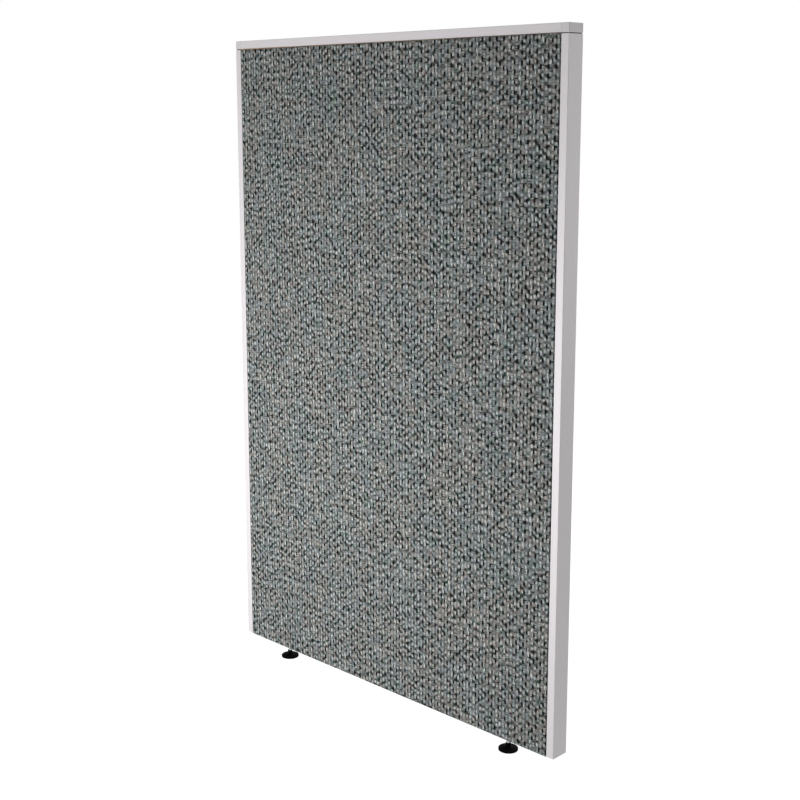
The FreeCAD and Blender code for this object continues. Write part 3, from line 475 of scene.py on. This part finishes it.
# painted shade: the lowest tone, in the holes, turns near black
deep = add(tree, "ShaderNodeMapRange", {"Value": tone, "From Min": 0.02, "From Max": 0.34})
coloured = add(tree, "ShaderNodeMix", {0: deep, 6: linear(HOLE_PAINTED_SHADE), 7: paled},
               output=2, data_type="RGBA")
fuzz = add(tree, "ShaderNodeTexNoise", {"Vector": counted, "Scale": 9.0, "Detail": 3.0})
height = add(tree, "ShaderNodeMath", {0: fuzz, 1: 0.5, 2: tone}, operation="MULTIPLY_ADD")
normal = add(tree, "ShaderNodeBump", {"Height": height, "Strength": 0.4, "Distance": 0.0010})
tree.links.new(coloured, shader.inputs["Base Color"])
tree.links.new(normal, shader.inputs["Normal"])

# the same rule raises the ribs and sinks the holes of the mesh
ribbing = bpy.data.node_groups.new("raised_weave", "GeometryNodeTree")
for name, kind in (("Cloth", "NodeSocketGeometry"), ("Rib width", "NodeSocketFloat"),
                   ("Row height", "NodeSocketFloat"), ("Relief", "NodeSocketFloat"),
                   ("Finish", "NodeSocketMaterial")):
    ribbing.interface.new_socket(name, in_out="INPUT", socket_type=kind)
ribbing.interface.new_socket("Cloth", in_out="OUTPUT", socket_type="NodeSocketGeometry")
given = ribbing.nodes.new("NodeGroupInput")
uv = add(ribbing, "GeometryNodeInputNamedAttribute", {"Name": "weave"}, data_type="FLOAT_VECTOR")
pitch = add(ribbing, "ShaderNodeCombineXYZ", {"X": given.outputs["Rib width"],
                                              "Y": given.outputs["Row height"], "Z": 1.0})
cells = add(ribbing, "ShaderNodeVectorMath", {0: uv, 1: pitch}, operation="DIVIDE")
rule = weave(ribbing, cells)
swell = add(ribbing, "ShaderNodeMath", {0: rule["floats"], 1: 0.7, 2: 0.3}, operation="MULTIPLY_ADD")
raised = add(ribbing, "ShaderNodeMath", {0: rule["crown"], 1: swell}, operation="MULTIPLY")
sunk = add(ribbing, "ShaderNodeMath", {0: rule["holes"], 1: -0.6, 2: raised}, operation="MULTIPLY_ADD")
cover = add(ribbing, "GeometryNodeInputNamedAttribute", {"Name": "cover"}, data_type="FLOAT")
kept = add(ribbing, "ShaderNodeMath", {0: sunk, 1: cover}, operation="MULTIPLY")
rise = add(ribbing, "ShaderNodeMath", {0: kept, 1: given.outputs["Relief"]}, operation="MULTIPLY")
outward = add(ribbing, "GeometryNodeInputNormal", {})
offset = add(ribbing, "ShaderNodeVectorMath", {0: outward, "Scale": rise}, operation="SCALE")
moved = add(ribbing, "GeometryNodeSetPosition", {"Geometry": given.outputs["Cloth"], "Offset": offset})
smooth = add(ribbing, "GeometryNodeSetShadeSmooth", {"Geometry": moved})
real = add(ribbing, "GeometryNodeRealizeInstances", {"Geometry": smooth})
dressed = add(ribbing, "GeometryNodeSetMaterial", {"Geometry": real, "Material": given.outputs["Finish"]})
ribbing.links.new(dressed, ribbing.nodes.new("NodeGroupOutput").inputs["Cloth"])


def stretched_cloth(name, cad_node, board, facing, uv_start):
    """One cloth: a fine flat grid on the board's face, then rings of points round the fold to the back
    edge on three sides, an inner layer on the board and a straight cut along the top.
    facing is -1 for the front and 1 for the rear."""
    low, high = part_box(cad_node)
    board_low, board_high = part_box(board)
    width = high.x - low.x - 2 * CLOTH_FOLD
    tall = high.z - low.z - CLOTH_FOLD
    base = low.z + CLOTH_FOLD
    face_y = max(abs(low.y), abs(high.y)) - 0.45 * CLOTH_RELIEF
    back_y = min(abs(board_low.y), abs(board_high.y))
    board_y = max(abs(board_low.y), abs(board_high.y)) + CLOTH_OVER_BOARD
    across = round(width / (RIB_MM / 1000)) * STEPS_PER_RIB
    up = round(tall / (PICK_MM / 1000)) * STEPS_PER_ROW
    # the face, row by row from the bottom
    points, uvs, covers, faces = [], [], [], []
    for j in range(up + 1):
        for i in range(across + 1):
            x, z = width * (i / across - 0.5), tall * j / up
            cut = CUT_RISE * i / across if j == up else 0.0
            points.append((x, -face_y, z + base + cut))
            uvs.append((x + width / 2, z))
            covers.append(1.0)
    for j in range(up):
        for i in range(across):
            a = j * (across + 1) + i
            faces.append((a, a + 1, a + across + 2, a + across + 1))
    # the points down the left side, along the bottom and up the right side
    top = up * (across + 1)
    rim = [j * (across + 1) for j in range(up, 0, -1)]
    rim += list(range(across + 1))
    rim += [j * (across + 1) + across for j in range(1, up + 1)]
    # ring by ring: how far out, how deep, how far along the cloth, how much of the relief
    quarter = [math.radians(a) for a in (30, 60, 90)]
    rings = [(CLOTH_FOLD * math.sin(a), face_y - CLOTH_FOLD * (1 - math.cos(a)), CLOTH_FOLD * a,
              1.0 - 0.3 * a) for a in quarter]
    fold_end = CLOTH_FOLD * quarter[-1]
    for share, relief in ((0.33, 0.4), (0.66, 0.4), (1.0, 0.0)):
        deep = (face_y - CLOTH_FOLD) * (1 - share) + back_y * share
        rings.append((CLOTH_FOLD, deep, fold_end + face_y - CLOTH_FOLD - deep, relief))
    rings.append((CLOTH_FOLD - CLOTH_THICK, back_y, fold_end + 0.010, 0.0))
    rings.append((CLOTH_FOLD - CLOTH_THICK, board_y, fold_end + 0.020, 0.0))
    last = rim
    left_cut, right_cut = [], []
    for out, deep, along, relief in rings:
        ring = []
        for p in rim:
            x, _, z = points[p]
            u, v = uvs[p]
            side = 2 * (u / width - 0.5)
            level = v / tall - 1
            at_side = round(side) if abs(abs(side) - 1) < 1e-6 else 0
            at_bottom = -1 if v < 1e-6 else 0
            ring.append(len(points))
            points.append((x + side * out, -deep, z + level * out))
            uvs.append((u + at_side * along, v + at_bottom * along))
            covers.append(relief)
        for k in range(len(ring) - 1):
            faces.append((last[k + 1], last[k], ring[k], ring[k + 1]))
        left_cut.append(ring[0])
        right_cut.append(ring[-1])
        last = ring
    faces.append(tuple(last))
    faces.append(tuple([top + i for i in range(across + 1)] + right_cut + left_cut[::-1]))
    mesh = bpy.data.meshes.new(name)
    turn = -facing
    mesh.from_pydata([(x * turn, y * turn, z) for x, y, z in points], [], faces)
    layer = mesh.uv_layers.new(name="weave")
    corner = np.zeros(len(mesh.loops), np.int32)
    mesh.loops.foreach_get("vertex_index", corner)
    flat = np.array(uvs) + np.array(uv_start)
    layer.data.foreach_set("uv", flat[corner].astype(np.float32).ravel())
    attribute = mesh.attributes.new("cover", "FLOAT", "POINT")
    attribute.data.foreach_set("value", np.array(covers, np.float32))
    raw = bmesh.new()
    raw.from_mesh(mesh)
    bmesh.ops.recalc_face_normals(raw, faces=raw.faces)
    raw.to_mesh(mesh)
    raw.free()
    draft = bpy.data.objects.new(name + "_draft", mesh)
    scene.collection.objects.link(draft)
    modifier = draft.modifiers.new("weave", "NODES")
    modifier.node_group = ribbing
    sizes = {"Rib width": STEPS_PER_RIB * width / across, "Row height": STEPS_PER_ROW * tall / up,
             "Relief": CLOTH_RELIEF, "Finish": cloth}
    for item in ribbing.interface.items_tree:
        if item.in_out == "INPUT" and item.name in sizes:
            modifier[item.identifier] = sizes[item.name]
    bpy.context.view_layer.update()
    done = bpy.data.meshes.new_from_object(draft.evaluated_get(bpy.context.evaluated_depsgraph_get()))
    bpy.data.objects.remove(draft)
    done.name = name
    piece = bpy.data.objects.new(name, done)
    scene.collection.objects.link(piece)
    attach(piece, "panel")
    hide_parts(cad_node)


stretched_cloth("front_cloth", "front_fabric", "front_board", -1, (0.0, 0.0))
stretched_cloth("rear_cloth", "rear_fabric", "rear_board", 1, (3.0, 5.0))


# ---------------------------------------------------------------------------
# Levelling feet: a moulded black nylon base with a rubber sole pressed into it,
# and a rolled M10 stud that snaps into its hub and screws up into the tee nut.
# ---------------------------------------------------------------------------
NYLON = "#050505"
NYLON_SHADE = "#020202"
RUBBER = "#080808"
RUBBER_SHADE = "#040404"
THREAD_PITCH = 0.0015
THREAD_DEPTH = 0.0009
THREAD_SIDES = 28
THREAD_PROFILE = (1.0, 0.75, 0.2, 0.0, 0.2, 0.75)     # depth of the thread, root to root
THREAD_START = 0.0291
THREAD_RUNOUT = (0.0009, 0.0003)                      # where the plain shank tapers, below the start
STUD_CHAMFER = 0.001
FOOT_CHAMFER = 0.0008
SNAP_LOW = 0.012             # the groove that the base's hub snaps into
SNAP_HIGH = 0.014
SNAP_DEPTH = 0.0008
FLATS_LOW = 0.021
FLATS_HIGH = 0.027
FLATS_HALF = 0.004

# Moulded nylon: nearly black, with a fine eroded grain and a weak shine.
nylon, tree, shader = new_material("moulded_black_nylon", **{"Roughness": 0.7, "Specular IOR Level": 0.03})
place = add(tree, "ShaderNodeTexCoord", {}, output="Object")
spark = add(tree, "ShaderNodeTexNoise", {"Vector": place, "Scale": 1000 / SPARK_MM, "Detail": 2.0})
colour = add(tree, "ShaderNodeMix", {0: spark, 6: linear(NYLON_SHADE), 7: linear(NYLON)},
             output=2, data_type="RGBA")
normal = add(tree, "ShaderNodeBump", {"Height": spark, "Strength": 0.3, "Distance": 0.00005})
tree.links.new(colour, shader.inputs["Base Color"])
tree.links.new(normal, shader.inputs["Normal"])
dress(["foot_base_left", "foot_base_right", "post_plug_left", "post_plug_right"], nylon)

# Moulded rubber: dull black, a little dusty, without any shine.
rubber, tree, shader = new_material("moulded_black_rubber", **{"Roughness": 0.9, "Specular IOR Level": 0.06})
place = add(tree, "ShaderNodeTexCoord", {}, output="Object")
dust = add(tree, "ShaderNodeTexNoise", {"Vector": place, "Scale": 1000 / SPARK_MM, "Detail": 4.0})
colour = add(tree, "ShaderNodeMix", {0: dust, 6: linear(RUBBER_SHADE), 7: linear(RUBBER)},
             output=2, data_type="RGBA")
normal = add(tree, "ShaderNodeBump", {"Height": dust, "Strength": 0.5, "Distance": 0.0001})
tree.links.new(colour, shader.inputs["Base Color"])
tree.links.new(normal, shader.inputs["Normal"])
dress(["foot_sole_left", "foot_sole_right"], rubber)


def rolled_stud(side):
    """The stud, turned on one axis: plain to above the spanner flats, then a rolled thread to the top."""
    low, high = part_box("foot_stud_" + side)
    axis = (low + high) / 2
    radius = (high.x - low.x) / 2
    root = radius - THREAD_DEPTH
    # rows of points: height and radius at each turn step, with the thread's rows rising as a helix
    plain = [(low.z, radius - FOOT_CHAMFER), (low.z + FOOT_CHAMFER, radius), (SNAP_LOW, radius),
             (SNAP_LOW, radius - SNAP_DEPTH), (SNAP_HIGH, radius - SNAP_DEPTH), (SNAP_HIGH, radius),
             (FLATS_LOW, radius), (FLATS_LOW, None), (FLATS_HIGH, None), (FLATS_HIGH, radius),
             (THREAD_START - THREAD_RUNOUT[0], radius), (THREAD_START - THREAD_RUNOUT[1], root)]
    rows = []
    for height, reach in plain:
        row = []
        for k in range(THREAD_SIDES):
            a = math.tau * k / THREAD_SIDES
            r = radius if reach is None else reach
            x, y = r * math.cos(a), r * math.sin(a)
            if reach is None:
                y = max(-FLATS_HALF, min(FLATS_HALF, y))
            row.append((x, y, height))
        rows.append(row)
    steps = len(THREAD_PROFILE)
    count = int((high.z - THREAD_START) / THREAD_PITCH * steps) + steps + 1
    for i in range(count):
        row = []
        for k in range(THREAD_SIDES):
            a = math.tau * k / THREAD_SIDES
            height = THREAD_START + (i / steps - 1 + k / THREAD_SIDES) * THREAD_PITCH
            r = radius - THREAD_DEPTH * THREAD_PROFILE[i % steps] if height >= THREAD_START else root
            if height > high.z - STUD_CHAMFER:
                r = min(r, radius - STUD_CHAMFER + high.z - height)
            height = max(THREAD_START, min(high.z, height))
            r = max(r, radius - STUD_CHAMFER)
            row.append((r * math.cos(a), r * math.sin(a), height))
        rows.append(row)
    points = [(axis.x + x, axis.y + y, z) for row in rows for x, y, z in row]
    faces = []
    for i in range(len(rows) - 1):
        for k in range(THREAD_SIDES):
            n = (k + 1) % THREAD_SIDES
            a, b = i * THREAD_SIDES + k, i * THREAD_SIDES + n
            faces.append((a, b, b + THREAD_SIDES, a + THREAD_SIDES))
    faces.append(tuple(range(THREAD_SIDES))[::-1])
    faces.append(tuple(range((len(rows) - 1) * THREAD_SIDES, len(rows) * THREAD_SIDES)))
    mesh = bpy.data.meshes.new("threaded_stud_" + side)
    mesh.from_pydata(points, [], faces)
    raw = bmesh.new()
    raw.from_mesh(mesh)
    bmesh.ops.remove_doubles(raw, verts=raw.verts, dist=0.00001)
    bmesh.ops.recalc_face_normals(raw, faces=raw.faces)
    raw.to_mesh(mesh)
    raw.free()
    mesh.materials.append(zinc_plate)
    piece = bpy.data.objects.new("threaded_stud_" + side, mesh)
    scene.collection.objects.link(piece)
    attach(piece, "foot_stud_" + side)
    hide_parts("foot_stud_" + side)


rolled_stud("left")
rolled_stud("right")
